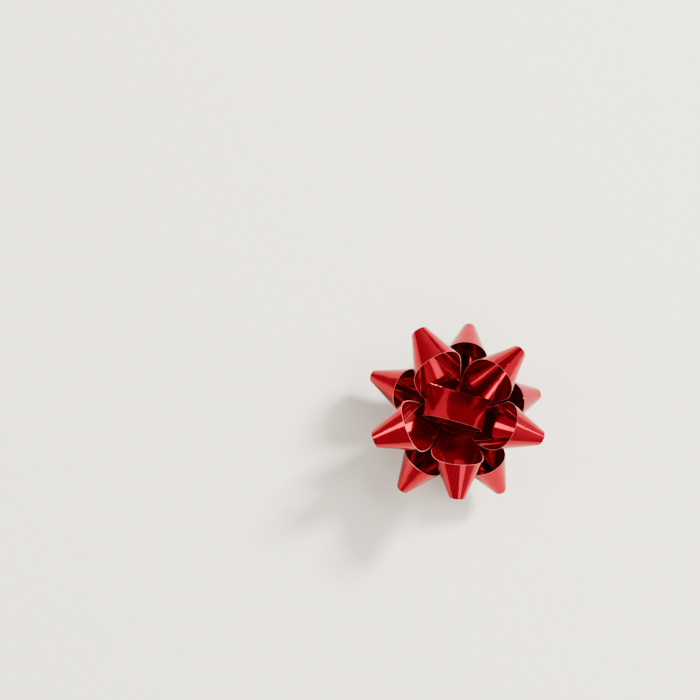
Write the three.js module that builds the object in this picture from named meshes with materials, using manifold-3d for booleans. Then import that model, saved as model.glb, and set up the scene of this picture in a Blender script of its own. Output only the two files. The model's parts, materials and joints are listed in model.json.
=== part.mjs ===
// A small pre-made star bow of metallised ribbon: two tiers of five loops round one centre loop,
// stapled through a card disc that carries an adhesive foam pad and its release liner.
// Millimetres, +Z up. The bow's axis is Z, and the origin is the middle of the face it rests on.
import * as THREE from "three";
import { mergeVertices } from "three/addons/utils/BufferGeometryUtils.js";
import Module from "manifold-3d";

const wasm = await Module();
wasm.setup();

// ---- Driving dimensions ----
const ribbonWidth = 5.2;
const ribbonThickness = 0.12;
const tipSetback = 2.35; // from the cone's point to the ribbon's near edge, along the crest of a loop
const tailOverlap = 8; // degrees round the cone that each tail runs past the seam
const tailRun = 5; // degrees of flat ribbon that a tail has past the seam, inside its sector
const tailGap = 0.16; // air between a loop's two tails where they cross under it

const passPitch = 0.33; // height of one ribbon pass in the stapled stack
const coreGap = 0.3; // between the stack and the root of each loop
const neighbourGap = 0.44; // between loops of one tier, along the plane halfway between them
const tierGap = 0.75; // between a lower loop's rim and the upper tails that pass over it

const centreLength = 8.9; // centre loop, across its longest way
const centreHeight = 2.4;
const centreLean = 30; // degrees that its crown leans back
const centreSeat = 0.55; // air under its floor, which it rocks in
const centreFlexRoom = 0.12; // more room round each staple leg in that floor
const centreBack = 0.7; // how far it sits behind the bow's axis, and to the left of it
const centreLeft = 0.4;
const centreTurn = -14.5; // degrees from +X to its long way

const stapleWire = 0.46;
const stapleSpan = 2.8; // between the middles of its legs
const stapleClearance = 0.14; // round each leg, all the way down
const cardDiameter = 7;
const cardThickness = 0.5;
const padSide = 8.6;
const padThickness = 1;
const linerSide = 9.6;
const linerThickness = 0.16;
const linerTab = 2.6; // length of the pull tab past the liner's edge

// Each loop's place: degrees round the bow from +X, degrees its root climbs (in the upper tier, past
// the climb at which it rests on the lower one), how much further its tip is set back than the rest
// because it was pulled looser, and its pass in the stack, in star order.
const lowerLoops = [
  { azimuth: 15, rise: 0, slack: -0.25, pass: 0 },
  { azimuth: 79, rise: -1, slack: -0.2, pass: 3 },
  { azimuth: 154, rise: 2, slack: -0.3, pass: 1 },
  { azimuth: 235, rise: -1, slack: -0.25, pass: 4 },
  { azimuth: 303, rise: 0, slack: -0.35, pass: 2 },
];
const upperLoops = [
  { azimuth: 45, rise: -1, slack: 0, pass: 8 },
  { azimuth: 117, rise: 1, slack: 0.3, pass: 6 },
  { azimuth: 199, rise: -2, slack: 0.3, pass: 9 },
  { azimuth: 268, rise: 1, slack: 0.1, pass: 7 },
  { azimuth: 343, rise: 1, slack: 0.1, pass: 5 },
];

// ---- What follows from them ----
const degrees = Math.PI / 180;
const loopsPerTier = lowerLoops.length;
const halfWrap = 180 / loopsPerTier * 2; // degrees of flat ribbon from a loop's crest to its seam
const coneAngle = Math.asin(halfWrap / 180); // the half angle that closes the ribbon on its seam
const pointRadius = (setback) => (setback + ribbonWidth / 2) / Math.cos(halfWrap * degrees);
const passes = lowerLoops.length + upperLoops.length + 2; // a pass for each loop, and both of its ends
const stackRadius = ribbonWidth / 2 / Math.cos(Math.PI / (2 * loopsPerTier));
const rootRadius = stackRadius + coreGap;
const padBottom = linerThickness;
const cardBottom = padBottom + padThickness;
const coreBottom = cardBottom + cardThickness;
const coreTop = coreBottom + passes * passPitch;
const legHoleRadius = stapleWire / 2 + stapleClearance;
const centreHoleRadius = legHoleRadius + centreFlexRoom;
const holeMargin = 0.2; // ribbon left round a leg hole, at least
const centreFloor = stapleSpan / 2 + centreLeft + centreHoleRadius + holeMargin; // half its flat floor
const centreHoleTop = centreHeight / 2; // its leg holes go through the floor and not the crown
const crownGap = 0.1; // between the staple's crown and that floor
const stapleSeat = centreSeat + ribbonThickness + stapleWire / 2 + crownGap;
const foldGap = 0.2; // from the middle to each folded end
const padCorner = 1.2;
const stepsRoundLoop = 26;
const stepsRoundCentre = 36;
const reach = 3 * pointRadius(tipSetback); // longer than anything here, for cutting tools

const redFilm = { color: 0xa3101c, roughness: 0.22, metalness: 0.9 };
const steel = { color: 0xb9bcc0, roughness: 0.35, metalness: 1 };
const card = { color: 0xc9b99a, roughness: 0.9, metalness: 0 };
const foam = { color: 0xf2f0ea, roughness: 0.95, metalness: 0 };
const paper = { color: 0xe8e4d8, roughness: 0.6, metalness: 0 };

// ---- Between three.js geometry and manifold-3d solids ----
function toSolid(geometry) {
  const bare = new THREE.BufferGeometry();
  bare.setAttribute("position", geometry.getAttribute("position").clone());
  if (geometry.index) bare.setIndex(geometry.index.clone());
  const merged = mergeVertices(bare, 1e-4);
  const vertProperties = new Float32Array(merged.getAttribute("position").array);
  const triVerts = new Uint32Array(merged.index.array);
  return new wasm.Manifold(new wasm.Mesh({ numProp: 3, vertProperties, triVerts }));
}

function toGeometry(solid) {
  const mesh = solid.getMesh();
  const geometry = new THREE.BufferGeometry();
  geometry.setAttribute("position", new THREE.BufferAttribute(mesh.vertProperties, 3));
  geometry.setIndex(new THREE.BufferAttribute(mesh.triVerts, 1));
  geometry.computeVertexNormals();
  return geometry;
}

function piece(name, geometry, finish) {
  const mesh = new THREE.Mesh(geometry, new THREE.MeshStandardMaterial(finish));
  mesh.name = name;
  return mesh;
}

// A flat outline, given as a THREE.Shape, as a plate from one height to another.
function plate(outline, bottom, top, curveSegments = 12) {
  const geometry = new THREE.ExtrudeGeometry(outline, {
    depth: top - bottom,
    bevelEnabled: false,
    curveSegments,
  });
  return geometry.translate(0, 0, bottom);
}

function roundedSquare(side, corner) {
  const half = side / 2;
  const flat = half - corner;
  const outline = new THREE.Shape();
  outline.absarc(flat, -flat, corner, -Math.PI / 2, 0);
  outline.absarc(flat, flat, corner, 0, Math.PI / 2);
  outline.absarc(-flat, flat, corner, Math.PI / 2, Math.PI);
  outline.absarc(-flat, -flat, corner, Math.PI, 1.5 * Math.PI);
  return outline;
}

// How far the upper tier climbs to lie over the rims of the lower one, in degrees. A rim is widest a
// quarter of the way round its cone, and the upper tails there curve up to each side of their seam.
function restingClimb() {
  const quarterWrap = 90 * Math.sin(coneAngle) * degrees;
  const slant = (tipSetback + ribbonWidth) / Math.cos(quarterWrap);
  const rimOut = pointRadius(tipSetback) - slant * Math.cos(coneAngle) ** 2;
  const rimSide = slant * Math.sin(coneAngle);
  const rimHeight = rimSide * Math.cos(coneAngle);
  const rimReach = Math.hypot(rimOut, rimSide);
  const offSeam = rimReach * Math.sin(Math.PI / loopsPerTier - Math.atan2(rimSide, rimOut));
  const coneRadius = (pointRadius(tipSetback) - rimReach) * Math.sin(coneAngle);
  const curl = coneRadius - Math.sqrt(coneRadius ** 2 - offSeam ** 2);
  const passesBetween = 3;
  const climb = rimHeight + tierGap - curl - passesBetween * passPitch;
  return Math.atan2(climb, rimReach - rootRadius) / degrees;
}

// A closed strip of ribbon. Row i, side s (0 or 1) gives the middle surface's edge point, and the
// wall stands half the thickness to each side of it. A ring joins its last row to its first.
function ribbonSolid(rows, isRing) {
  const count = rows.length;
  const positions = [];
  rows.forEach(([near, far], i) => {
    const before = rows[isRing ? (i + count - 1) % count : Math.max(i - 1, 0)];
    const after = rows[isRing ? (i + 1) % count : Math.min(i + 1, count - 1)];
    const along = after[0].clone().add(after[1]).sub(before[0]).sub(before[1]);
    const across = far.clone().sub(near);
    const outward = along.cross(across).normalize().multiplyScalar(ribbonThickness / 2);
    for (const edge of [near, far]) positions.push(edge.clone().add(outward));
    for (const edge of [far, near]) positions.push(edge.clone().sub(outward));
  });
  const corners = 4; // near outside, far outside, far inside, near inside
  const index = [];
  const quad = (a, b, c, d) => index.push(a, b, c, a, c, d);
  for (let i = 0; i < (isRing ? count : count - 1); i += 1) {
    const here = i * corners;
    const next = ((i + 1) % count) * corners;
    for (let k = 0; k < corners; k += 1) {
      const other = (k + 1) % corners;
      quad(here + k, next + k, next + other, here + other);
    }
  }
  if (!isRing) {
    const last = (count - 1) * corners;
    quad(0, 1, 2, 3);
    quad(last + 3, last + 2, last + 1, last);
  }
  const geometry = new THREE.BufferGeometry();
  const coordinates = positions.flatMap((position) => position.toArray());
  geometry.setAttribute("position", new THREE.Float32BufferAttribute(coordinates, 3));
  geometry.setIndex(index);
  return toSolid(geometry);
}

// One loop: flat ribbon rolled on a cone whose lowest line runs from the bow's middle to the cone's
// point. Its edges are straight in the flat ribbon, so on the cone each is at distance / cos(wrap).
function loopSolid(rise, slack) {
  const setback = tipSetback + slack;
  const point = new THREE.Vector3(pointRadius(setback), 0, 0);
  const inward = new THREE.Vector3(-Math.cos(coneAngle), 0, Math.sin(coneAngle));
  const up = new THREE.Vector3(Math.sin(coneAngle), 0, Math.cos(coneAngle));
  const side = new THREE.Vector3(0, 1, 0);
  const root = new THREE.Vector3(rootRadius, 0, 0);
  const wrapEnd = halfWrap + tailRun;
  const lift = ribbonThickness + tailGap;
  const rows = [];
  for (let i = 0; i <= stepsRoundLoop; i += 1) {
    const wrap = wrapEnd * (2 * i / stepsRoundLoop - 1);
    const round = wrap / halfWrap * (180 + tailOverlap) * degrees;
    const generator = inward.clone().multiplyScalar(Math.cos(coneAngle));
    generator.addScaledVector(up, Math.sin(coneAngle) * Math.cos(round));
    generator.addScaledVector(side, Math.sin(coneAngle) * Math.sin(round));
    const tailLift = lift * (wrap / halfWrap + 1) / 2;
    rows.push(
      [setback, setback + ribbonWidth].map((distance) => {
        const edge = point.clone().addScaledVector(generator, distance / Math.cos(wrap * degrees));
        edge.z += tailLift;
        return edge.sub(root).applyAxisAngle(side, -rise * degrees).add(root);
      }),
    );
  }
  return ribbonSolid(rows, false);
}

// The room a loop may fill: outside the stack, and short of the planes halfway to its neighbours.
function loopRoom(leftAngle, rightAngle) {
  const offset = neighbourGap / 2;
  const alongPlane = (angle, distance) => {
    const start = new THREE.Vector2(offset / Math.sin(Math.abs(angle)), 0);
    return start.add(new THREE.Vector2(Math.cos(angle), Math.sin(angle)).multiplyScalar(distance));
  };
  const outline = new THREE.Shape();
  outline.setFromPoints([
    alongPlane(Math.min(leftAngle, rightAngle), 0),
    alongPlane(-rightAngle, reach),
    alongPlane(leftAngle, reach),
  ]);
  const wedge = toSolid(plate(outline, -reach, reach));
  const stack = new THREE.CylinderGeometry(rootRadius, rootRadius, 2 * reach, 20).rotateX(Math.PI / 2);
  return wedge.subtract(toSolid(stack));
}

function addTier(bow, tierName, loops, climb) {
  loops.forEach((loop, i) => {
    const next = loops[(i + 1) % loops.length].azimuth;
    const before = loops[(i + loops.length - 1) % loops.length].azimuth;
    const leftAngle = ((next - loop.azimuth + 360) % 360) / 2 * degrees;
    const rightAngle = ((loop.azimuth - before + 360) % 360) / 2 * degrees;
    const solid = loopSolid(climb + loop.rise, loop.slack).intersect(loopRoom(leftAngle, rightAngle));
    const mesh = piece(`${tierName}_loop_${i + 1}`, toGeometry(solid), redFilm);
    mesh.rotation.z = loop.azimuth * degrees;
    mesh.position.z = coreBottom + (loop.pass + 0.5) * passPitch;
    bow.add(mesh);
  });
}

// The passes of ribbon one on another under the staple: where they all cross is a ten-sided patch,
// and each pass is turned from the one below, so the stack's sides are stepped.
function ribbonStack() {
  const sides = 2 * loopsPerTier;
  let stack = null;
  for (let pass = 0; pass < passes; pass += 1) {
    const turn = (pass % 2) * Math.PI / sides;
    const patch = new THREE.CylinderGeometry(stackRadius, stackRadius, passPitch, sides);
    patch.rotateX(Math.PI / 2).rotateZ(turn).translate(0, 0, coreBottom + (pass + 0.5) * passPitch);
    stack = stack ? stack.add(toSolid(patch)) : toSolid(patch);
  }
  return drilledForStaple(stack, legHoleRadius);
}

// The centre loop: a low ring pinned flat by its floor, whose crown twists back as it rises. Its
// outline is widest half way up, and its shoulders are rounder than the turn into its floor.
function centreLoop() {
  const half = centreLength / 2;
  const at = (x, z) => new THREE.Vector3(x, 0, z);
  const floorEnd = at(centreFloor, ribbonThickness / 2);
  const haunch = at(0.8 * half, 0.26 * centreHeight);
  const bulge = at(half, 0.54 * centreHeight);
  const shoulder = at(0.68 * half, 0.87 * centreHeight);
  const right = [floorEnd, haunch, bulge, shoulder];
  const left = right.map((corner) => at(-corner.x, corner.z)).reverse();
  const outline = new THREE.CatmullRomCurve3([...right, at(0, centreHeight), ...left]);
  const rows = outline.getSpacedPoints(stepsRoundCentre).map((middle) => {
    const lean = centreLean * degrees * THREE.MathUtils.smoothstep(middle.z, 0, centreHeight);
    const across = new THREE.Vector3(0, Math.cos(lean), -Math.sin(lean));
    across.multiplyScalar(ribbonWidth / 2);
    return [middle.clone().sub(across), middle.clone().add(across)];
  });
  const ring = ribbonSolid(rows.reverse(), true).translate([-centreLeft, centreBack, 0]);
  return drilledForStaple(ring, centreHoleRadius, centreHoleTop);
}

// A solid with holes for the staple's legs, from below everything up to a height.
function drilledForStaple(solid, radius, top = reach) {
  let drilled = solid;
  for (const x of [-stapleSpan / 2, stapleSpan / 2]) {
    const hole = new THREE.CylinderGeometry(radius, radius, 2 * reach, 12).rotateX(Math.PI / 2);
    hole.translate(x, 0, top - reach);
    drilled = drilled.subtract(toSolid(hole));
  }
  return drilled;
}

// The staple: a crown on the centre loop's floor, two legs, and their ends folded in under the card.
function stapleWireGeometry() {
  const crown = coreTop + stapleSeat;
  const fold = cardBottom - stapleWire / 2 - stapleClearance;
  const half = stapleSpan / 2;
  const at = (x, z) => new THREE.Vector3(x, 0, z);
  const corners = [at(-half, fold), at(-half, crown), at(half, crown), at(half, fold)];
  const lastEnd = at(foldGap, fold);
  const bendStart = (corner, other) => other.clone().sub(corner).setLength(stapleWire).add(corner);
  const path = new THREE.CurvePath();
  let from = at(-foldGap, fold);
  corners.forEach((corner, i) => {
    const before = bendStart(corner, from);
    const after = bendStart(corner, corners[i + 1] ?? lastEnd);
    path.add(new THREE.LineCurve3(from, before));
    path.add(new THREE.QuadraticBezierCurve3(before, corner, after));
    from = after;
  });
  path.add(new THREE.LineCurve3(from, lastEnd));
  const section = new THREE.Shape().absarc(0, 0, stapleWire / 2, 0, 2 * Math.PI);
  return new THREE.ExtrudeGeometry(section, {
    extrudePath: path,
    steps: 44,
    curveSegments: 8,
    bevelEnabled: false,
  });
}

function cardDisc() {
  const disc = new THREE.CylinderGeometry(cardDiameter / 2, cardDiameter / 2, cardThickness, 36);
  disc.rotateX(Math.PI / 2).translate(0, 0, cardBottom + cardThickness / 2);
  return drilledForStaple(toSolid(disc), legHoleRadius);
}

// The foam pad, with the dent that the staple's folded ends press into its top.
function foamPad() {
  const pad = toSolid(plate(roundedSquare(padSide, padCorner), padBottom, cardBottom));
  const dentDepth = stapleWire + 2 * stapleClearance;
  const dentLength = stapleSpan + 2 * legHoleRadius;
  const dent = new THREE.BoxGeometry(dentLength, 2 * legHoleRadius, 2 * dentDepth);
  dent.translate(0, 0, cardBottom);
  return pad.subtract(toSolid(dent));
}

// The release liner: a square of coated paper under the pad, with a tab to pull it off by.
function releaseLiner() {
  const sheet = toSolid(plate(roundedSquare(linerSide, padCorner), 0, linerThickness));
  const tab = new THREE.Shape();
  tab.moveTo(0, -linerTab);
  tab.lineTo(linerSide / 2, -linerTab);
  tab.absarc(linerSide / 2, 0, linerTab, -Math.PI / 2, Math.PI / 2);
  tab.lineTo(0, linerTab);
  return sheet.add(toSolid(plate(tab, 0, linerThickness)));
}

const bow = new THREE.Group();
addTier(bow, "lower", lowerLoops, 0);
addTier(bow, "upper", upperLoops, restingClimb());

const centre = piece("centre_loop", toGeometry(centreLoop()), redFilm);
centre.position.z = coreTop + centreSeat;
const middle = new THREE.Group(); // what the staple lines up with
middle.rotation.z = centreTurn * degrees;
middle.add(centre);
middle.add(piece("ribbon_stack", toGeometry(ribbonStack()), redFilm));
middle.add(piece("staple", toGeometry(toSolid(stapleWireGeometry())), steel));
middle.add(piece("card_disc", toGeometry(cardDisc()), card));
middle.add(piece("foam_pad", toGeometry(foamPad()), foam));
middle.add(piece("release_liner", toGeometry(releaseLiner()), paper));
bow.add(middle);

export default bow;
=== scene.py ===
import json
import math

import bmesh
import bpy
from mathutils import Matrix, Vector, noise


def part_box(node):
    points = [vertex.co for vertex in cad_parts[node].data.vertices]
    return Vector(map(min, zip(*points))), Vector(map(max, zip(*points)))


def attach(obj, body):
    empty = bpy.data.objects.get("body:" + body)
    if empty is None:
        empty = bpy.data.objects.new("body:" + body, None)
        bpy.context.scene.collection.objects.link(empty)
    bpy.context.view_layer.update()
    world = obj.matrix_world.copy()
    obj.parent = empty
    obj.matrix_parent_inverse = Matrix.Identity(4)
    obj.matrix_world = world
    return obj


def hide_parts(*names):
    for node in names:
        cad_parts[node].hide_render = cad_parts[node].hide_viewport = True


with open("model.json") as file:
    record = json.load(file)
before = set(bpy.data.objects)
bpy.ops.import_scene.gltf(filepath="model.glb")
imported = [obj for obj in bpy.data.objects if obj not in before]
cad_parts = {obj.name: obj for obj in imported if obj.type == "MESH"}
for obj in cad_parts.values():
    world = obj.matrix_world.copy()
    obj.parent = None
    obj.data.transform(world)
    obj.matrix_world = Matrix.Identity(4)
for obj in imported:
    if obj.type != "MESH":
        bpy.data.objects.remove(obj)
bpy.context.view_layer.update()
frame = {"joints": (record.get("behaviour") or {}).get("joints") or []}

mm = 0.001
hinges = {joint["child"]: joint for joint in frame["joints"]}
bowTurn = math.atan2(*reversed(hinges["centre_loop"]["axis"][:2]))


class Wire:  # a shader socket that adds and multiplies like a number
    def __init__(self, finish, socket):
        self.finish = finish
        self.socket = socket

    def __add__(self, other):
        return self.finish.math("ADD", self, other)

    def __sub__(self, other):
        return self.finish.math("SUBTRACT", self, other)

    def __rsub__(self, other):
        return self.finish.math("SUBTRACT", other, self)

    def __mul__(self, other):
        return self.finish.math("MULTIPLY", self, other)

    __radd__ = __add__
    __rmul__ = __mul__


class Finish:  # one material, or the world's sky, under construction
    def __init__(self, name, owner=None):
        self.material = owner or bpy.data.materials.new(name)
        self.material.use_nodes = True
        self.tree = self.material.node_tree
        self.shader = self.tree.nodes.get("Principled BSDF") or self.tree.nodes.get("Background")

    def node(self, kind, settings=None, sockets=None, out=0):
        made = self.tree.nodes.new("ShaderNode" + kind)
        for key, value in (settings or {}).items():
            setattr(made, key, value)
        for key, value in (sockets or {}).items():
            self.plug(made.inputs[key], value)
        return Wire(self, made.outputs[out])

    def plug(self, socket, value):
        if isinstance(value, Wire):
            self.tree.links.new(value.socket, socket)
        elif socket.type == "RGBA" and len(value) == 3:
            socket.default_value = (*value, 1)
        else:
            socket.default_value = value

    def set(self, **values):  # baseColor -> "Base Color"
        for key, value in values.items():
            words = "".join(" " + c if c.isupper() else c for c in key).split()
            label = " ".join(word.capitalize() for word in words).replace("Ior", "IOR")
            self.plug(self.shader.inputs[label], value)

    def math(self, operation, *values):
        return self.node("Math", {"operation": operation}, dict(enumerate(values)))

    def mix(self, factor, first, second):
        return self.node("Mix", {"data_type": "RGBA"}, {0: factor, 6: first, 7: second}, out=2)

    def grain(self, place, scale, detail=2.0, rough=0.5, stretch=(1, 1, 1)):
        at = self.node("Mapping", {}, {"Vector": place, "Scale": stretch})
        return self.node("TexNoise", {}, {"Vector": at, "Scale": scale, "Detail": detail, "Roughness": rough})

    def ramp(self, factor, low, high):  # 0 below low, 1 above high
        return self.node("MapRange", {"interpolation_type": "SMOOTHSTEP"},
                         {"Value": factor, "From Min": low, "From Max": high})

    def bump(self, height, distance, strength=1.0, under=None):
        sockets = {"Height": height, "Distance": distance, "Strength": strength}
        if under:
            sockets["Normal"] = under
        return self.node("Bump", {}, sockets)

    def objectPlace(self):
        return self.node("TexCoord", out=3)

    def sheetPlace(self):  # metres along and across the flat ribbon
        return self.node("Attribute", {"attribute_name": "flatPlace"}, out=1)


filmLook = {
    "colour": (0.34, 0.0005, 0.012),
    "deepColour": (0.27, 0.0003, 0.009),
    "rimHighlightAndDustColour": (0.48, 0.06, 0.07),  # painted highlight beside the cut edge, also the colour of the dust specks
    "roughness": 0.09,
    "haze": 0.06,        # how much rougher the handled patches are
    "lacquer": 0.03,
    "metal": 0.87,       # the dyed lacquer scatters the rest
    # width of the painted highlight band along the cut edge
    "rimHighlightWidth": 0.05 * mm,
}


def makeFilm(c):
    film = Finish("redFilm")
    flat = film.sheetPlace()
    across = film.node("SeparateXYZ", {}, {"Vector": flat}, out=1)
    fromEdge = film.math("MINIMUM", across, ribbon["width"] - across)
    cloud = film.grain(flat, 260, detail=3)
    drawn = film.grain(flat, 900, detail=4, stretch=(0.06, 1, 1))  # lines left by the slitting rolls
    pebble = film.grain(flat, 2600, detail=2)
    speck = film.ramp(film.grain(flat, 5200, detail=1), 0.73, 0.80)
    # painted highlight: a pale, less metallic band along each cut edge of the film (the dust specks share its
    # colour)
    paintedRimHighlight = 1 - film.ramp(fromEdge + (cloud - 0.5) * c["rimHighlightWidth"], 0, c["rimHighlightWidth"])
    body = film.mix(film.ramp(cloud, 0.35, 0.7), c["colour"], c["deepColour"])
    film.set(baseColor=film.mix(paintedRimHighlight * 0.75 + speck * 0.4, body, c["rimHighlightAndDustColour"]))
    haze = film.ramp(cloud, 0.45, 0.75) * c["haze"]
    film.set(roughness=c["roughness"] + haze + drawn * 0.03 + speck * 0.25)
    film.set(metallic=c["metal"] - paintedRimHighlight * 0.25 - speck * 0.3)
    slow = film.bump(cloud, 0.020 * mm, 0.5)
    lines = film.bump(drawn, 0.0005 * mm, 0.5, under=slow)
    film.set(normal=film.bump(pebble, 0.0004 * mm, 0.5, under=lines))
    film.set(coatWeight=c["lacquer"], coatRoughness=0.06, coatIor=1.5, specularIorLevel=0.15)
    return film.material


def makeCutEdge():
    edge = Finish("cutEdge")
    place = edge.objectPlace()
    fibre = edge.grain(place, 3000, detail=2)
    # painted highlight: the cut edge is coloured pale pink to stand for the light the rims catch
    edge.set(baseColor=edge.mix(fibre, (0.50, 0.07, 0.08), (0.70, 0.22, 0.22)), roughness=0.3 + fibre * 0.25)
    edge.set(normal=edge.bump(fibre, 0.004 * mm), metallic=0.2)
    return edge.material


def makeWire():
    wire = Finish("zincWire")
    place = wire.objectPlace()
    drawn = wire.grain(place, 1500, detail=4, stretch=(0.15, 1, 0.15))
    bloom = wire.ramp(wire.grain(place, 700, detail=3), 0.5, 0.72)  # dull zinc bloom
    wire.set(baseColor=wire.mix(bloom, (0.66, 0.67, 0.69), (0.46, 0.47, 0.49)), metallic=1 - bloom * 0.25)
    wire.set(roughness=0.24 + bloom * 0.28 + drawn * 0.1, normal=wire.bump(drawn, 0.006 * mm))
    return wire.material


def makeBoard():
    board = Finish("pulpBoard")
    place = board.objectPlace()
    fibre = board.grain(place, 1400, detail=6, rough=0.65, stretch=(1, 0.35, 1))
    fleck = board.ramp(board.grain(place, 2300, detail=2), 0.64, 0.72)
    body = board.mix(board.ramp(fibre, 0.3, 0.75), (0.44, 0.33, 0.22), (0.62, 0.50, 0.36))
    board.set(baseColor=board.mix(fleck * 0.7, body, (0.20, 0.14, 0.10)))
    board.set(roughness=0.82 + fibre * 0.12, normal=board.bump(fibre, 0.03 * mm, 0.8), specularIorLevel=0.25)
    return board.material


def makeFoam(bottom, top):
    foam = Finish("whiteFoam")
    place = foam.objectPlace()
    height = foam.node("SeparateXYZ", {}, {"Vector": place}, out=2)
    fromFace = foam.math("MINIMUM", height - bottom, top - height)
    glue = 1 - foam.ramp(fromFace, 0.05 * mm, 0.11 * mm)  # a film of adhesive over and under the foam
    cells = foam.node("TexVoronoi", {}, {"Vector": place, "Scale": 5200, "Randomness": 1})
    dirt = foam.ramp(foam.grain(place, 420, detail=4), 0.52, 0.8)
    body = foam.mix(dirt * 0.6, (0.84, 0.83, 0.79), (0.66, 0.63, 0.56))
    foam.set(baseColor=foam.mix(glue * 0.8, body, (0.70, 0.62, 0.42)))
    foam.set(roughness=0.9 - glue * 0.5, normal=foam.bump(cells, 0.05 * mm, 0.9), specularIorLevel=0.3)
    foam.set(subsurfaceWeight=0.12, subsurfaceRadius=(0.4 * mm, 0.4 * mm, 0.35 * mm))
    return foam.material


def makeLinerPaper():
    paper = Finish("linerPaper")
    place = paper.objectPlace()
    fibre = paper.grain(place, 1900, detail=5, rough=0.6, stretch=(0.4, 1, 1))
    mottle = paper.grain(place, 380, detail=3)
    paper.set(baseColor=paper.mix(paper.ramp(mottle, 0.3, 0.7), (0.80, 0.76, 0.62), (0.86, 0.83, 0.71)))
    paper.set(roughness=0.28 + mottle * 0.16 + fibre * 0.08, normal=paper.bump(fibre, 0.006 * mm, 0.8))
    return paper.material


def makeTablePaper():
    table = Finish("tablePaper")
    place = table.objectPlace()
    tooth = table.grain(place, 620, detail=5, rough=0.6)
    mottle = table.grain(place, 30, detail=4)
    table.set(baseColor=table.mix(mottle, (0.86, 0.785, 0.655), (0.89, 0.815, 0.69)))
    table.set(roughness=0.75 + tooth * 0.2, normal=table.bump(tooth, 0.05 * mm, 0.35), specularIorLevel=0.2)
    return table.material


def newPiece(name, bm, *materials):
    mesh = bpy.data.meshes.new(name)
    bm.to_mesh(mesh)
    bm.free()
    piece = bpy.data.objects.new(name, mesh)
    for material in materials:
        mesh.materials.append(material)
    bpy.context.scene.collection.objects.link(piece)
    return piece


def fit(piece, body, slot, *nodes):
    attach(piece, body)
    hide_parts(*nodes)


def smoothFaces(bm, sharpOver=35):
    for face in bm.faces:
        face.smooth = True
    for edge in bm.edges:
        edge.smooth = edge.calc_face_angle(0) < math.radians(sharpOver)


ribbon = {
    "width": 5.2 * mm,
    "thickness": 0.075 * mm,
    "tipSetback": 2.35 * mm,   # cone's point to the near edge, along a loop's crest
    "halfWrap": 72,            # degrees of flat ribbon from crest to seam
    "tailRun": 5,
    "overlap": {"lower": 46, "upper": 20},  # degrees that each tail runs past the seam
    "tailLift": 0.13 * mm,
    "gap": 0.34 * mm,          # between neighbours of a tier
    "tuck": 0.48 * mm,         # how far a tail reaches in over the stack
    "ripple": 0.022 * mm,
    "stepsAlong": 150,
    "stepsAcross": 14,
}


def flatStrip(stepsAlong, stepsAcross):
    bm = bmesh.new()
    bmesh.ops.create_grid(bm, x_segments=stepsAlong, y_segments=stepsAcross, size=0.5)
    return bm, bm.verts.layers.float_vector.new("flatPlace")


def ripple(bm, flat, seed, height):  # the film is never quite even
    bm.normal_update()
    for vert in bm.verts:
        along, across, _ = vert[flat] / mm
        swell = noise.noise(Vector((along * 0.45, across * 0.3, seed)))
        dimple = noise.noise(Vector((along * 1.3, across * 1.1, seed + 50)))
        vert.co += vert.normal * height * (swell + 0.35 * dimple)


def thicken(bm, thickness):  # to both sides of the sheet, with its cut edge in the second material
    bm.normal_update()
    outward = bm.verts.layers.float_vector.new("outward")
    for vert in bm.verts:
        vert[outward] = vert.normal
    front = set(bm.faces)
    copied = bmesh.ops.extrude_face_region(bm, geom=list(front), use_keep_orig=True)["geom"]
    back = {part for part in copied if isinstance(part, bmesh.types.BMFace)}
    backVerts = {part for part in copied if isinstance(part, bmesh.types.BMVert)}
    for vert in bm.verts:
        side = -0.5 if vert in backVerts else 0.5
        vert.co += vert[outward] * thickness * side
    for face in bm.faces:
        face.material_index = 0 if face in front or face in back else 1
    bmesh.ops.recalc_face_normals(bm, faces=bm.faces[:])
    for face in bm.faces:
        face.smooth = True
    for edge in bm.edges:
        edge.smooth = len({face.material_index for face in edge.link_faces}) < 2


def trim(bm, point, normal):  # cuts away what lies on the normal's side
    everything = bm.verts[:] + bm.edges[:] + bm.faces[:]
    bmesh.ops.bisect_plane(bm, geom=everything, dist=1e-7, plane_co=point, plane_no=normal,
                           clear_outer=True)


upperClimb = 23.09  # degrees, where the upper tier rests on the lower one
loops = {  # degrees its root climbs, and how far its tip is set back past the rest
    "lower_loop_1": (0, -0.25 * mm),
    "lower_loop_2": (-1, -0.20 * mm),
    "lower_loop_3": (2, -0.30 * mm),
    "lower_loop_4": (-1, -0.25 * mm),
    "lower_loop_5": (0, -0.35 * mm),
    "upper_loop_1": (upperClimb - 1, 0),
    "upper_loop_2": (upperClimb + 1, 0.30 * mm),
    "upper_loop_3": (upperClimb - 2, 0.30 * mm),
    "upper_loop_4": (upperClimb + 1, 0.10 * mm),
    "upper_loop_5": (upperClimb + 1, 0.10 * mm),
}


def rollOnCone(bm, flat, setback, rootRadius, climb, overlap):
    halfWrap = math.radians(ribbon["halfWrap"])
    wrapEnd = halfWrap + math.radians(ribbon["tailRun"])
    closing = math.pi + math.radians(overlap)
    cone = math.asin(halfWrap / math.pi)
    tip = Vector(((setback + ribbon["width"] / 2) / math.cos(halfWrap), 0, 0))
    inward = Vector((-math.cos(cone), 0, math.sin(cone)))
    up = Vector((math.sin(cone), 0, math.cos(cone)))
    side = Vector((0, 1, 0))
    for vert in bm.verts:
        wrap = 2 * vert.co.x * wrapEnd
        distance = setback + (vert.co.y + 0.5) * ribbon["width"]
        vert[flat] = (distance * math.tan(wrap), distance - setback, 0)
        turn = wrap / halfWrap * closing
        line = inward * math.cos(cone) + (up * math.cos(turn) + side * math.sin(turn)) * math.sin(cone)
        vert.co = tip + line * (distance / math.cos(wrap))
        vert.co.z += ribbon["tailLift"] * (wrap / halfWrap + 1) / 2
    root = Vector((rootRadius, 0, 0))
    bmesh.ops.rotate(bm, verts=bm.verts[:], cent=root, matrix=Matrix.Rotation(-climb, 3, "Y"))


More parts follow.
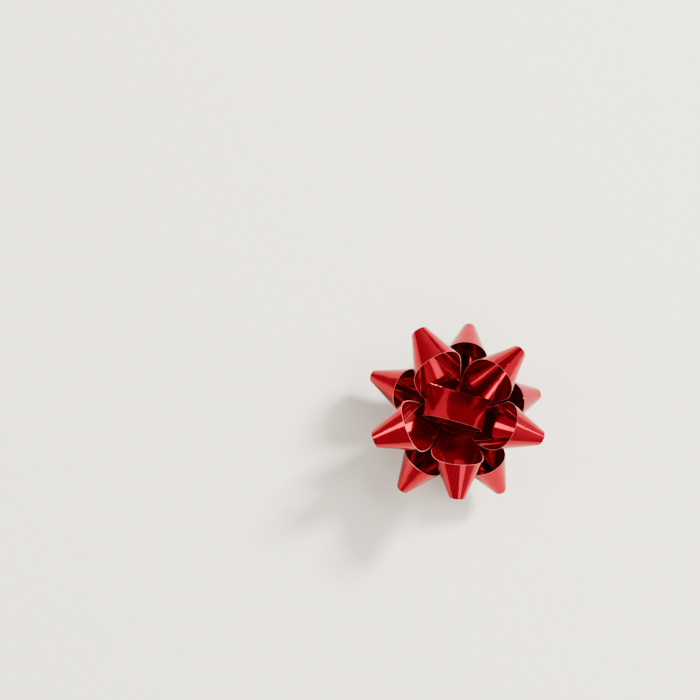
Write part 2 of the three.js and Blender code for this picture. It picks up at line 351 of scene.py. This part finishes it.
def makeLoop(name, leftHalf, rightHalf, seed, film, cutEdge):
    climb, slack = loops[name]
    root = Vector(hinges[name]["pos_m"])
    azimuth = math.atan2(root.y, root.x)
    rootRadius = root.xy.length
    bm, flat = flatStrip(ribbon["stepsAlong"], ribbon["stepsAcross"])
    overlap = ribbon["overlap"][name.split("_")[0]]
    rollOnCone(bm, flat, ribbon["tipSetback"] + slack, rootRadius, math.radians(climb), overlap)
    for angle, sign in ((leftHalf, 1), (rightHalf, -1)):
        normal = Vector((-math.sin(angle), sign * math.cos(angle), 0))
        trim(bm, normal * -ribbon["gap"] / 2, normal)
    trim(bm, Vector((rootRadius - ribbon["tuck"], 0, 0)), Vector((-1, 0, 0)))
    bmesh.ops.remove_doubles(bm, verts=bm.verts[:], dist=1e-6)
    ripple(bm, flat, seed, ribbon["ripple"])
    thicken(bm, ribbon["thickness"])
    bmesh.ops.rotate(bm, verts=bm.verts[:], matrix=Matrix.Rotation(azimuth, 3, "Z"))
    bmesh.ops.translate(bm, verts=bm.verts[:], vec=Vector((0, 0, root.z)))
    loop = newPiece(name + "_film", bm, film, cutEdge)
    fit(loop, name, "ribbon_film", name)


def makeTier(tierName, film, cutEdge):
    names = [name for name in loops if name.startswith(tierName)]
    azimuths = [math.atan2(hinges[name]["pos_m"][1], hinges[name]["pos_m"][0]) for name in names]
    for i, name in enumerate(names):
        before = azimuths[i - 1]
        after = azimuths[(i + 1) % len(names)]
        leftHalf = (after - azimuths[i]) % math.tau / 2
        rightHalf = (azimuths[i] - before) % math.tau / 2
        makeLoop(name, leftHalf, rightHalf, i * 7 + len(tierName), film, cutEdge)
    print("made the", tierName, "tier")


centre = {
    "length": 8.9 * mm,
    "height": 2.25 * mm,
    "floor": 2.49 * mm,   # half of its flat floor
    "lean": 26,           # degrees its crown twists back
    "back": 0.7 * mm,
    "left": 0.4 * mm,
    "lap": 0.12 * mm,     # one end of the strip lies over the other
    "stepsAround": 220,
    "stepsAcross": 14,
}


def smoothThrough(points, share):  # Catmull-Rom through the points, share 0 to 1 along them
    place = share * (len(points) - 1)
    i = min(int(place), len(points) - 2)
    t = place - i
    a, b, c, d = (points[max(0, min(k, len(points) - 1))] for k in (i - 1, i, i + 1, i + 2))
    return b + ((c - a) * t + (2 * a - 5 * b + 4 * c - d) * t ** 2 + (3 * b - a - 3 * c + d) * t ** 3) / 2


def centreOutline(c):
    half = c["length"] / 2
    right = [(0.8 * half, 0.26), (half, 0.54), (0.68 * half, 0.87)]
    left = [(-x, z) for x, z in reversed(right)]
    shape = [(0, 0), (c["floor"], 0), *right, (0, 1), *left, (-c["floor"], 0), (0, 0)]
    return [Vector((x, 0, z * c["height"])) for x, z in shape]


def evenly(points, count):  # places at equal steps along the smooth line
    fine = [smoothThrough(points, i / (8 * count)) for i in range(8 * count + 1)]
    walked = [0]
    for before, after in zip(fine, fine[1:]):
        walked.append(walked[-1] + (after - before).length)
    places, k = [], 0
    for i in range(count + 1):
        while k < len(fine) - 2 and walked[k + 1] < walked[-1] * i / count:
            k += 1
        past = walked[-1] * i / count - walked[k]
        places.append(fine[k].lerp(fine[k + 1], past / max(walked[k + 1] - walked[k], 1e-9)))
    return places, walked[-1]


def makeCentreLoop(c, film, cutEdge):
    hinge = hinges["centre_loop"]
    places, around = evenly(centreOutline(c), c["stepsAround"])
    bm, flat = flatStrip(c["stepsAround"], c["stepsAcross"])
    for vert in bm.verts:
        share = vert.co.x + 0.5
        middle = places[round(share * c["stepsAround"])]
        rise = min(max(middle.z / c["height"], 0), 1)
        lean = math.radians(c["lean"]) * rise * rise * (3 - 2 * rise)
        across = Vector((0, math.cos(lean), -math.sin(lean)))
        vert[flat] = (share * around, (vert.co.y + 0.5) * ribbon["width"], 0)
        lap = c["lap"] * (1 - min(share * around / (2 * mm), 1))
        vert.co = middle + across * vert.co.y * ribbon["width"] + Vector((0, 0, lap))
    bmesh.ops.smooth_vert(bm, verts=bm.verts[:], factor=0.5,
                          use_axis_x=True, use_axis_y=False, use_axis_z=True)
    ripple(bm, flat, 91, ribbon["ripple"])
    thicken(bm, ribbon["thickness"])
    bmesh.ops.translate(bm, verts=bm.verts[:], vec=Vector((-c["left"], c["back"], 0)))
    bmesh.ops.rotate(bm, verts=bm.verts[:], matrix=Matrix.Rotation(bowTurn, 3, "Z"))
    bmesh.ops.translate(bm, verts=bm.verts[:], vec=Vector((0, 0, hinge["pos_m"][2])))
    loop = newPiece("centre_loop_film", bm, film, cutEdge)
    fit(loop, "centre_loop", "ribbon_film", "centre_loop")
    print("made the centre loop")


stack = {
    "sides": 10,
    "endPasses": 2,       # the centre loop's and the ribbon's starting end
    "shift": 0.05 * mm,   # how far the passes lie off one another
    "thickness": 0.10 * mm,
}


def makeStack(c, film, cutEdge):
    low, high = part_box("ribbon_stack")
    passes = len(loops) + c["endPasses"]
    pitch = (high.z - low.z) / passes
    radius = min(high.x, high.y)
    bm = bmesh.new()
    flat = bm.verts.layers.float_vector.new("flatPlace")
    for i in range(passes):
        made = bmesh.ops.create_circle(bm, cap_ends=True, segments=c["sides"], radius=radius)["verts"]
        inner = bmesh.ops.inset_region(bm, faces=[made[0].link_faces[0]], thickness=radius * 0.4)["faces"]
        layer = list({v for f in inner for v in f.verts} | set(made))
        angle = math.radians(i * 144 + 11 * noise.noise(Vector((i * 0.7, 0, 3))))
        drift = Vector((noise.noise(Vector((i, 1.5, 0))), noise.noise(Vector((i, 4.5, 0))), 0))
        offset = drift * 2 * c["shift"]
        for vert in layer:
            vert[flat] = vert.co + Vector((0, ribbon["width"] / 2, 0))
            vert.co.z = 0.03 * mm * noise.noise(vert.co * 700 + Vector((0, 0, i)))
        bmesh.ops.rotate(bm, verts=layer, matrix=Matrix.Rotation(angle, 3, "Z"))
        bmesh.ops.translate(bm, verts=layer, vec=offset + Vector((0, 0, low.z + (i + 0.5) * pitch)))
    thicken(bm, c["thickness"])
    film = newPiece("ribbon_stack_film", bm, film, cutEdge)
    fit(film, "base", "ribbon_film", "ribbon_stack")
    print("made the ribbon stack")


staple = {
    "wire": 0.46 * mm,
    "span": 2.8 * mm,
    "bend": 0.46 * mm,    # of the wire's middle line
    "foldGap": 0.2 * mm,
    "sides": 20,
    "bendSteps": 8,
}


def makeStaple(c, zincWire):
    low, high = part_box("staple")
    fold = low.z + c["wire"] / 2
    crown = high.z - c["wire"] / 2
    half = c["span"] / 2
    bm = bmesh.new()
    facingAlong = Matrix.Rotation(math.pi / 2, 4, "Y")
    bmesh.ops.create_circle(bm, cap_ends=True, segments=c["sides"], radius=c["wire"] / 2,
                            matrix=Matrix.Translation((-c["foldGap"], 0, fold)) @ facingAlong)
    end = bm.faces[:]
    sideways = Vector((1, 0, 0))
    upward = Vector((0, 0, 1))
    corners = [(-half, fold, -sideways), (-half, crown, upward),
               (half, crown, sideways), (half, fold, -upward)]
    at = Vector((-c["foldGap"], 0, fold))
    for x, z, heading in corners:
        corner = Vector((x, 0, z))
        step = corner - heading * c["bend"] - at
        end = drawOut(bm, end, step)
        at += step
        turned = Vector((heading.z, 0, -heading.x))  # every bend turns the same way
        end = bendRound(bm, end, at + turned * c["bend"], c["bendSteps"])
        at = corner + turned * c["bend"]
    drawOut(bm, end, Vector((c["foldGap"], 0, fold)) - at)
    bmesh.ops.remove_doubles(bm, verts=bm.verts[:], dist=1e-7)
    bmesh.ops.recalc_face_normals(bm, faces=bm.faces[:])
    smoothFaces(bm)
    bmesh.ops.rotate(bm, verts=bm.verts[:], matrix=Matrix.Rotation(bowTurn, 3, "Z"))
    fit(newPiece("staple_wire", bm, zincWire), "base", "staple_wire", "staple")
    print("made the staple")


def drawOut(bm, faces, step):
    grown = bmesh.ops.extrude_discrete_faces(bm, faces=faces)["faces"]
    bmesh.ops.translate(bm, verts=list({v for f in grown for v in f.verts}), vec=step)
    return grown


def bendRound(bm, faces, centrePoint, steps):
    made = bmesh.ops.spin(bm, geom=faces, cent=centrePoint, axis=(0, 1, 0),
                          angle=math.pi / 2, steps=steps)
    return [part for part in made["geom_last"] if isinstance(part, bmesh.types.BMFace)]


card = {"sides": 96, "bevel": 0.07 * mm, "fray": 0.02 * mm}


def makeCard(c, board):
    low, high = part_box("card_disc")
    radius = (high.x - low.x) / 2
    bm = bmesh.new()
    bmesh.ops.create_circle(bm, cap_ends=True, segments=c["sides"], radius=radius)
    top = bmesh.ops.extrude_face_region(bm, geom=bm.faces[:], use_keep_orig=True)["geom"]
    bmesh.ops.translate(bm, verts=[part for part in top if isinstance(part, bmesh.types.BMVert)],
                        vec=(0, 0, high.z - low.z))
    bmesh.ops.recalc_face_normals(bm, faces=bm.faces[:])
    rims = [edge for edge in bm.edges if edge.calc_face_angle(0) > 1]
    bmesh.ops.bevel(bm, geom=rims, offset=c["bevel"], segments=3, affect="EDGES", profile=0.5, material=-1)
    for vert in bm.verts:  # a punched edge is slightly torn
        rough = noise.noise(vert.co / (0.35 * mm)) * c["fray"]
        vert.co.xy *= 1 + min(rough, 0) / radius
    bmesh.ops.translate(bm, verts=bm.verts[:], vec=(0, 0, low.z))
    smoothFaces(bm)
    fit(newPiece("card_disc_board", bm, board), "base", "backing_card", "card_disc")
    print("made the card disc")


pad = {"side": 8.6 * mm, "corner": 1.2 * mm, "waist": 0.10 * mm, "layers": 10, "lip": 0.05 * mm}


def makePad(c, foam):
    low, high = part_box("foam_pad")
    height = high.z - low.z
    bm = bmesh.new()
    bmesh.ops.create_cube(bm, size=1)
    bmesh.ops.scale(bm, verts=bm.verts[:], vec=(c["side"], c["side"], height))
    upright = [edge for edge in bm.edges if abs(edge.verts[0].co.z - edge.verts[1].co.z) > height / 2]
    bmesh.ops.bevel(bm, geom=upright, offset=c["corner"], segments=10,
                    affect="EDGES", profile=0.5, material=-1)
    rims = [edge for edge in bm.edges if 1 < edge.calc_face_angle(0) < 2
            and abs(edge.verts[0].co.z) > height / 3
            and abs(edge.verts[1].co.z - edge.verts[0].co.z) < height / 3]
    bmesh.ops.bevel(bm, geom=rims, offset=c["lip"], segments=2, affect="EDGES", profile=0.5, material=-1)
    upright = [edge for edge in bm.edges if abs(edge.verts[0].co.z - edge.verts[1].co.z) > height / 2]
    bmesh.ops.subdivide_edges(bm, edges=upright, cuts=c["layers"], use_grid_fill=True)
    for vert in bm.verts:  # foam draws in between the two faces that hold it
        share = max(0, 1 - (2 * vert.co.z / height) ** 2)
        uneven = 1 + 0.5 * noise.noise(vert.co / (1.6 * mm))
        vert.co.xy *= 1 - c["waist"] * share * uneven / (c["side"] / 2)
    bmesh.ops.rotate(bm, verts=bm.verts[:], matrix=Matrix.Rotation(bowTurn, 3, "Z"))
    bmesh.ops.translate(bm, verts=bm.verts[:], vec=(0, 0, (low.z + high.z) / 2))
    smoothFaces(bm)
    piece = newPiece("foam_pad_soft", bm, foam)
    fit(piece, "base", "adhesive_foam", "foam_pad")
    print("made the foam pad")


liner = {
    "side": 9.6 * mm,
    "corner": 1.2 * mm,
    "tab": 2.6 * mm,
    "tabRound": 0.96,     # of the tab's half width
    "curl": 0.35 * mm,    # how far the tab's end lifts
    "strips": 14,
}


def makeLiner(c, paper):
    low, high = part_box("release_liner")
    half = c["side"] / 2
    tab = c["tab"]
    outline = [(-half, -half), (half, -half), (half, -tab), (half + tab, -tab),
               (half + tab, tab), (half, tab), (half, half), (-half, half)]
    bm = bmesh.new()
    corners = [bm.verts.new((x, y, 0)) for x, y in outline]
    bm.faces.new(corners)
    square = [corners[0], corners[1], corners[6], corners[7]]
    bmesh.ops.bevel(bm, geom=square, offset=c["corner"], segments=8,
                    affect="VERTICES", profile=0.5, material=-1)
    tabEnd = [vert for vert in bm.verts if vert.co.x > half + tab * 0.9]
    bmesh.ops.bevel(bm, geom=tabEnd, offset=tab * c["tabRound"], segments=14,
                    affect="VERTICES", profile=0.5, material=-1)
    curlStart = half * 0.8
    for i in range(c["strips"]):
        x = curlStart + (half + tab - curlStart) * i / c["strips"]
        everything = bm.verts[:] + bm.edges[:] + bm.faces[:]
        bmesh.ops.bisect_plane(bm, geom=everything, dist=1e-7, plane_co=(x, 0, 0), plane_no=(1, 0, 0))
    for vert in bm.verts:
        past = max(0, vert.co.x - curlStart) / (half + tab - curlStart)
        vert.co.z = c["curl"] * past ** 2
    sheet = bmesh.ops.extrude_face_region(bm, geom=bm.faces[:], use_keep_orig=True)["geom"]
    bmesh.ops.translate(bm, verts=[part for part in sheet if isinstance(part, bmesh.types.BMVert)],
                        vec=(0, 0, high.z - low.z))
    bmesh.ops.recalc_face_normals(bm, faces=bm.faces[:])
    bmesh.ops.rotate(bm, verts=bm.verts[:], matrix=Matrix.Rotation(bowTurn, 3, "Z"))
    smoothFaces(bm)
    fit(newPiece("release_liner_sheet", bm, paper), "release_liner", "liner_paper", "release_liner")
    print("made the release liner")


cameraView = {
    "leanLeft": 6.9,      # degrees the camera stands off the bow's axis, to the left and below
    "leanDown": 8.2,
    "distance": 313 * mm,
    "frameWidth": 103.7 * mm,   # what fills the picture's width at the bow's middle
    "middle": (0, 0, 2.5 * mm),  # the point of the bow placed in the picture
    "place": (15.04 * mm, -9.84 * mm),  # where that point sits, right and up of the picture's middle
}


def addCamera(c):
    x, y = math.sin(math.radians(c["leanLeft"])), math.sin(math.radians(c["leanDown"]))
    toward = Vector((-x, -y, math.sqrt(1 - x * x - y * y)))
    up = (Vector((0, 1, 0)) - toward * toward.y).normalized()
    right = up.cross(toward)
    target = Vector(c["middle"]) - right * c["place"][0] - up * c["place"][1]
    data = bpy.data.cameras.new("camera")
    data.angle = 2 * math.atan(c["frameWidth"] / 2 / c["distance"])
    data.clip_start = 0.01
    camera = bpy.data.objects.new("camera", data)
    camera.matrix_world = Matrix.Translation(target + toward * c["distance"]) @ Matrix(
        (right, up, toward)).transposed().to_4x4()
    bpy.context.scene.collection.objects.link(camera)
    bpy.context.scene.camera = camera


sky = {  # the studio round the bow
    "walls": (0.95, 0.93, 0.88),
    "brightWall": (1.6, 1.56, 1.49),
    "ceiling": (0.012, 0.012, 0.012),   # dark above, where the camera is
    "ceilingToward": (-0.08, -0.10, 0.99),
    "ceilingInner": 27,   # degrees from its middle
    "ceilingOuter": 35,
    "brightToward": (0.75, 0.62, 0.1),
    "flagToward": (0.50, 0.74, 0.45),  # a dark panel behind the bow
    "flagInner": 16,
    "flagOuter": 17.5,
}


def addSky(c):
    world = bpy.data.worlds.new("studio")
    bpy.context.scene.world = world
    light = Finish("studio", world)
    direction = light.node("TexCoord", out=0)

    def facing(toward):
        return light.node("VectorMath", {"operation": "DOT_PRODUCT"},
                          {0: direction, 1: Vector(toward).normalized()}, out=1)

    def disc(toward, inner, outer):
        return light.ramp(facing(toward), math.cos(math.radians(outer)), math.cos(math.radians(inner)))

    walls = light.mix(light.ramp(facing(c["brightToward"]), -0.2, 0.9), c["walls"], c["brightWall"])
    ceiling = disc(c["ceilingToward"], c["ceilingInner"], c["ceilingOuter"])
    flag = disc(c["flagToward"], c["flagInner"], c["flagOuter"])
    light.set(color=light.mix(light.math("MAXIMUM", ceiling, flag), walls, c["ceiling"]))


lamps = {  # degrees round from +X, degrees up, metres off, metres across, watts, shows in the film
    "softbox": (15, 44, 0.9, 0.42, 8, True),
    "sideLight": (165, 44, 1.0, 0.34, 4, True),
    "frontWindow": (292, 52, 0.9, 0.42, 2.2, True),
    "keyFill": (38, 32, 0.9, 0.16, 34, False),
}


def addLamps(c):
    for name, (around, up, away, size, power, showsInFilm) in c.items():
        data = bpy.data.lights.new(name, "AREA")
        data.size = size
        data.energy = power
        lamp = bpy.data.objects.new(name, data)
        lamp.visible_glossy = showsInFilm
        a, e = math.radians(around), math.radians(up)
        toward = Vector((math.cos(a) * math.cos(e), math.sin(a) * math.cos(e), math.sin(e)))
        facingBow = toward.to_track_quat("Z", "Y").to_matrix().to_4x4()
        lamp.matrix_world = Matrix.Translation(toward * away) @ facingBow
        bpy.context.scene.collection.objects.link(lamp)


floorPlane = {"halfWidth": 0.6, "drop": 0.02 * mm}  # just clear of the liner's face


def addFloor(c, tablePaper):
    bm = bmesh.new()
    bmesh.ops.create_grid(bm, x_segments=2, y_segments=2, size=c["halfWidth"])
    bmesh.ops.translate(bm, verts=bm.verts[:], vec=(0, 0, -c["drop"]))
    floor = newPiece("floor", bm, tablePaper)


addCamera(cameraView)
addSky(sky)
addLamps(lamps)
addFloor(floorPlane, makeTablePaper())
print("studio is set")

redFilm = makeFilm(filmLook)
cutEdge = makeCutEdge()
padLow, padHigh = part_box("foam_pad")
print("materials are made")

makeTier("lower", redFilm, cutEdge)
makeTier("upper", redFilm, cutEdge)
makeCentreLoop(centre, redFilm, cutEdge)
makeStack(stack, redFilm, cutEdge)
makeStaple(staple, makeWire())
makeCard(card, makeBoard())
makePad(pad, makeFoam(padLow.z, padHigh.z))
makeLiner(liner, makeLinerPaper())
